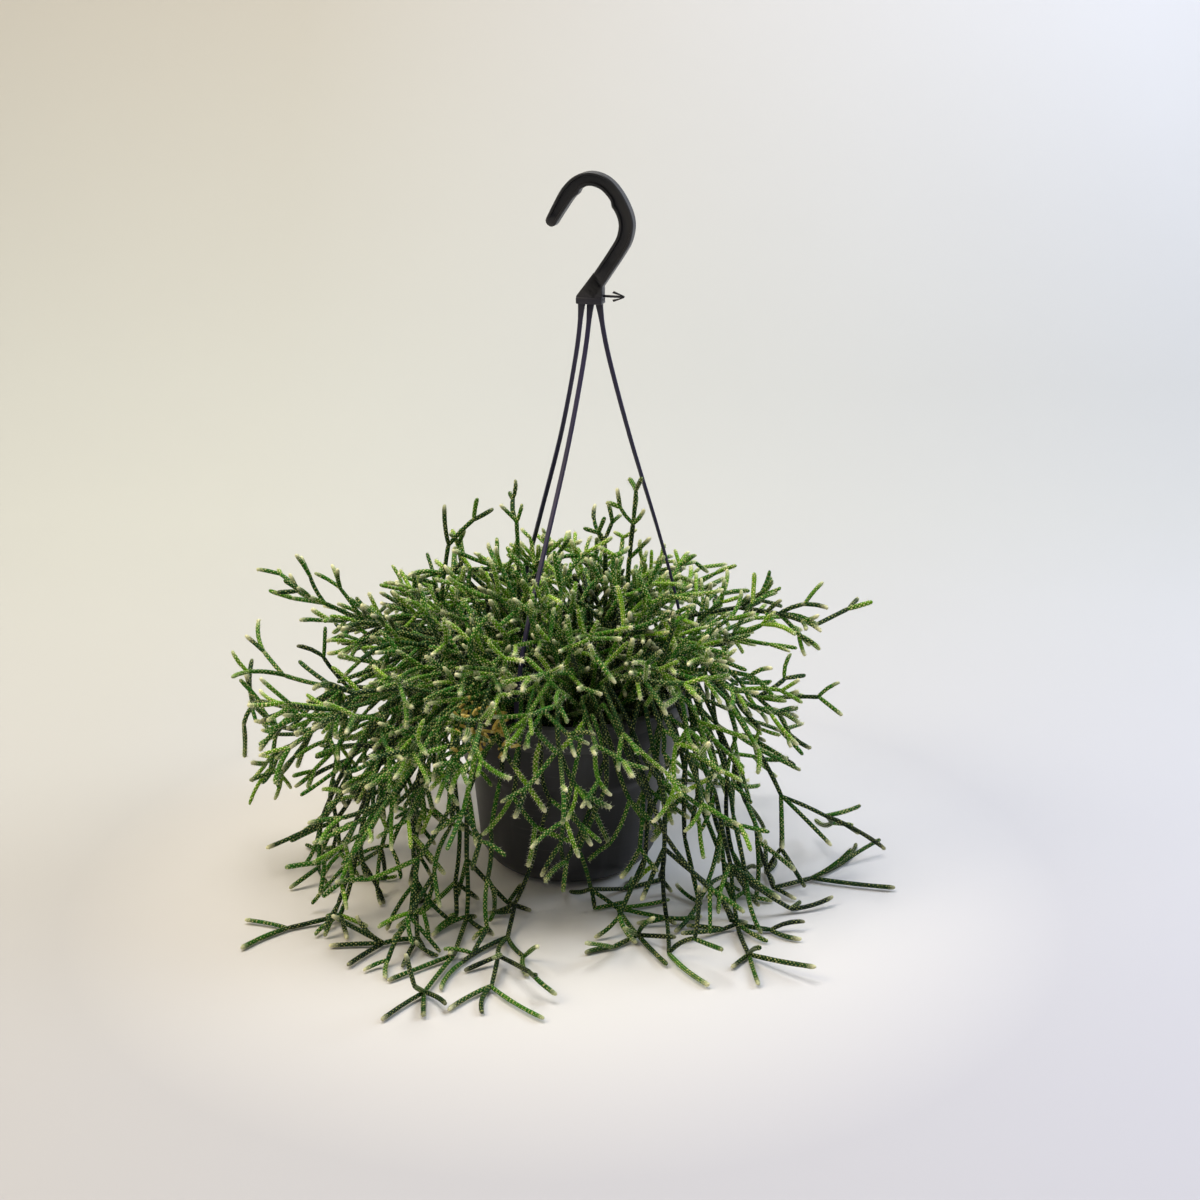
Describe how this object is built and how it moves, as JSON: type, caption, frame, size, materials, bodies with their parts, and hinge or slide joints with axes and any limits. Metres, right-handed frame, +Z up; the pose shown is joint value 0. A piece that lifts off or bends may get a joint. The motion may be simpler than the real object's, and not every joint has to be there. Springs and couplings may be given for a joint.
{
  "type": "hanging-pot plant",
  "caption": "Bushy mistletoe cactus with thin, whorled, bristly stems that arch and trail from a round plastic hanging pot, with a three-strap plastic hook hanger.",
  "frame": {"origin": "middle of the pot's flat foot, on the surface that the pot stands on", "axes": "+Z up, -Y towards the viewer of the picture, +X to the viewer's right"},
  "size_m": [0.4455, 0.3835, 0.476],
  "materials": {
    "pot_plastic": "matte",
    "hanger_plastic": "satin",
    "soil": "matte",
    "stem": "satin"
  },
  "bodies": {
    "root": {"pot": "pot_plastic", "soil": "soil", "hanger_hook": "hanger_plastic", "strap_right": "hanger_plastic", "strap_front_left": "hanger_plastic", "strap_back_left": "hanger_plastic", "stem_crown_01": "stem", "stem_crown_02": "stem", "stem_crown_03": "stem", "stem_crown_04": "stem", "stem_crown_05": "stem", "stem_crown_06": "stem", "stem_crown_07": "stem", "stem_crown_08": "stem", "stem_crown_09": "stem", "stem_crown_10": "stem", "stem_crown_11": "stem", "stem_crown_12": "stem", "stem_crown_13": "stem", "stem_crown_14": "stem", "stem_hanging_01": "stem", "stem_hanging_02": "stem", "stem_hanging_03": "stem", "stem_hanging_04": "stem", "stem_hanging_05": "stem", "stem_hanging_06": "stem", "stem_hanging_07": "stem", "stem_hanging_08": "stem", "stem_left_cluster": "stem", "stem_left_high": "stem", "stem_mid_top": "stem", "stem_right_high": "stem", "stem_right_mid": "stem", "stem_shoulder_01": "stem", "stem_shoulder_02": "stem", "stem_shoulder_03": "stem", "stem_shoulder_04": "stem", "stem_shoulder_05": "stem", "stem_shoulder_06": "stem", "stem_shoulder_07": "stem", "stem_shoulder_08": "stem", "stem_shoulder_09": "stem", "stem_shoulder_10": "stem", "stem_shoulder_11": "stem", "stem_shoulder_12": "stem", "stem_shoulder_13": "stem", "stem_tall_right": "stem", "stem_top_fork": "stem", "stem_top_left": "stem", "stem_trail_front": "stem", "stem_trail_front_left": "stem", "stem_trail_front_mid": "stem", "stem_trail_front_right": "stem", "stem_trail_left_a": "stem", "stem_trail_left_b": "stem", "stem_trail_left_c": "stem", "stem_trail_long_left": "stem", "stem_trail_right": "stem", "stem_trail_right_up": "stem"}
  },
  "joints": []
}
